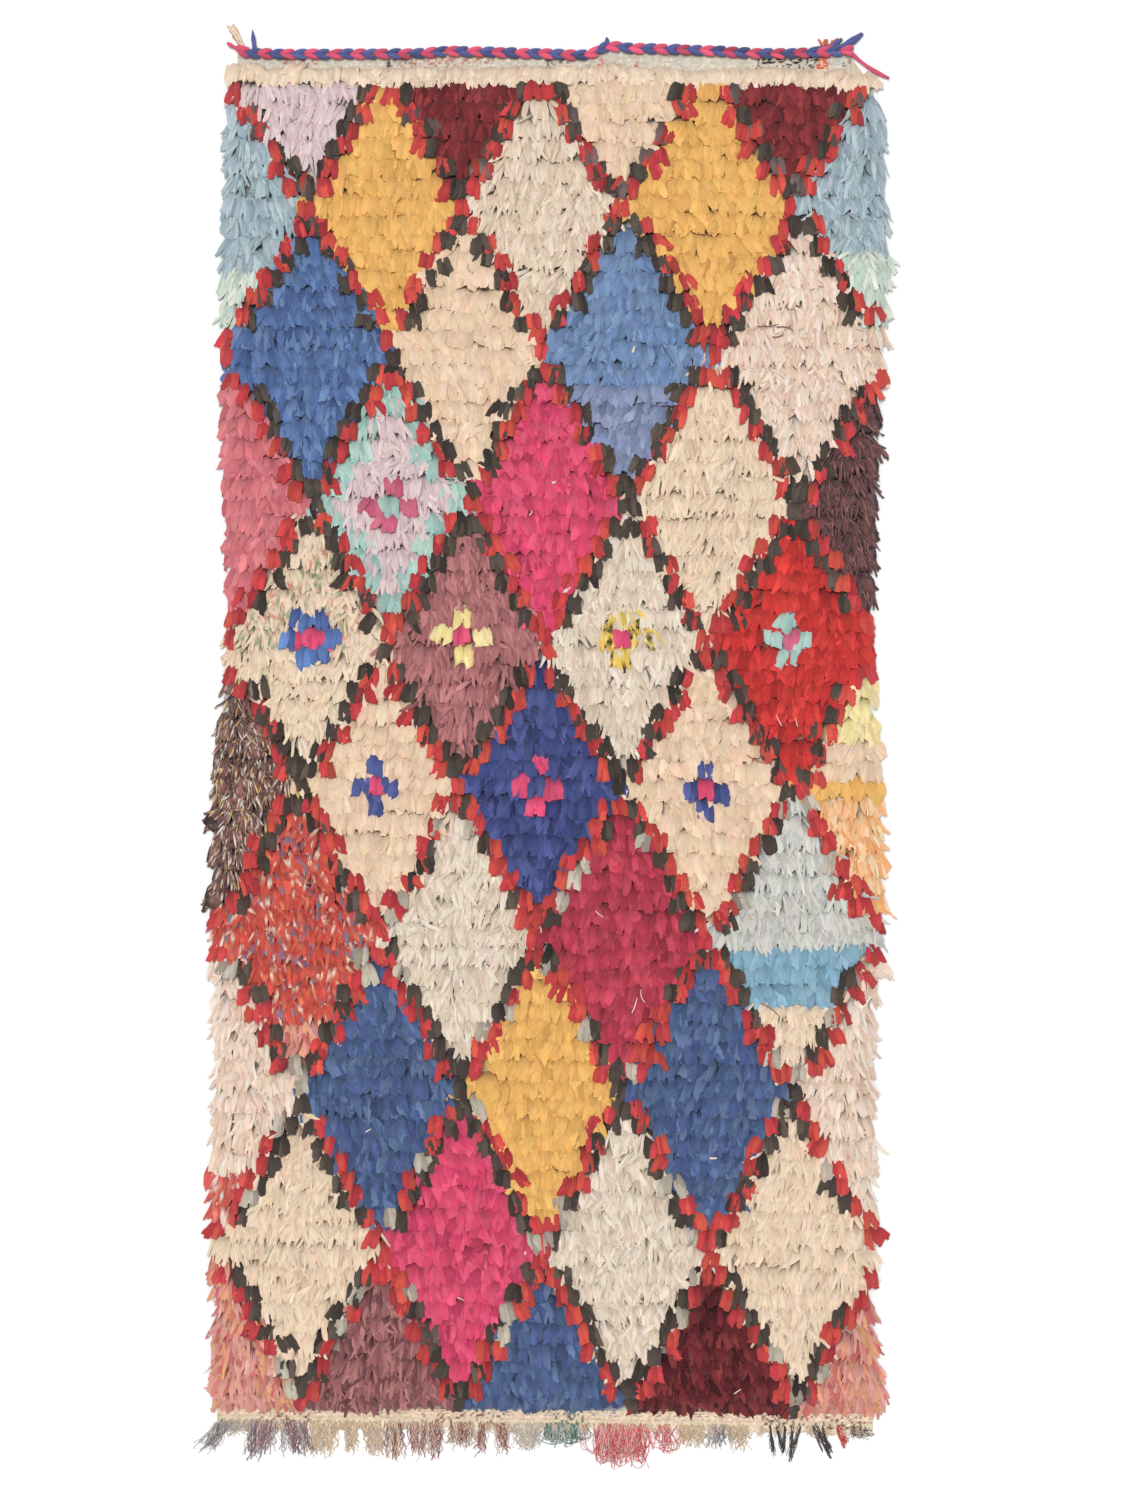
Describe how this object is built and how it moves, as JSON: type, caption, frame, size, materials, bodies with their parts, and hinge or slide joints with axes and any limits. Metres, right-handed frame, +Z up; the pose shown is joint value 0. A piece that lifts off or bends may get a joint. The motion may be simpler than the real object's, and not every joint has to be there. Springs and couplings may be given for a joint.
{
  "type": "boucherouite rug",
  "caption": "Flat boucherouite rug of knotted rags in a diamond lattice, with a twined edging on one end and a fringed woven band on the other.",
  "frame": {"origin": "on the floor, under the middle of the rug's outline with its fringe and loose ends", "axes": "+X across the width, +Y along the length towards the twined end, +Z up out of the pile"},
  "size_m": [1.302, 2.6836, 0.034],
  "materials": {
    "rag_cloth": "soft matt cotton, wool and jersey rags in many colours",
    "warp_yarn": "matt cream cotton yarn with mottled ends",
    "twined_rag": "matt pink and blue jersey strips"
  },
  "bodies": {
    "root": {"rag_pile": "rag_cloth", "end_band_fringe": "warp_yarn", "twined_edging": "twined_rag"}
  },
  "joints": []
}
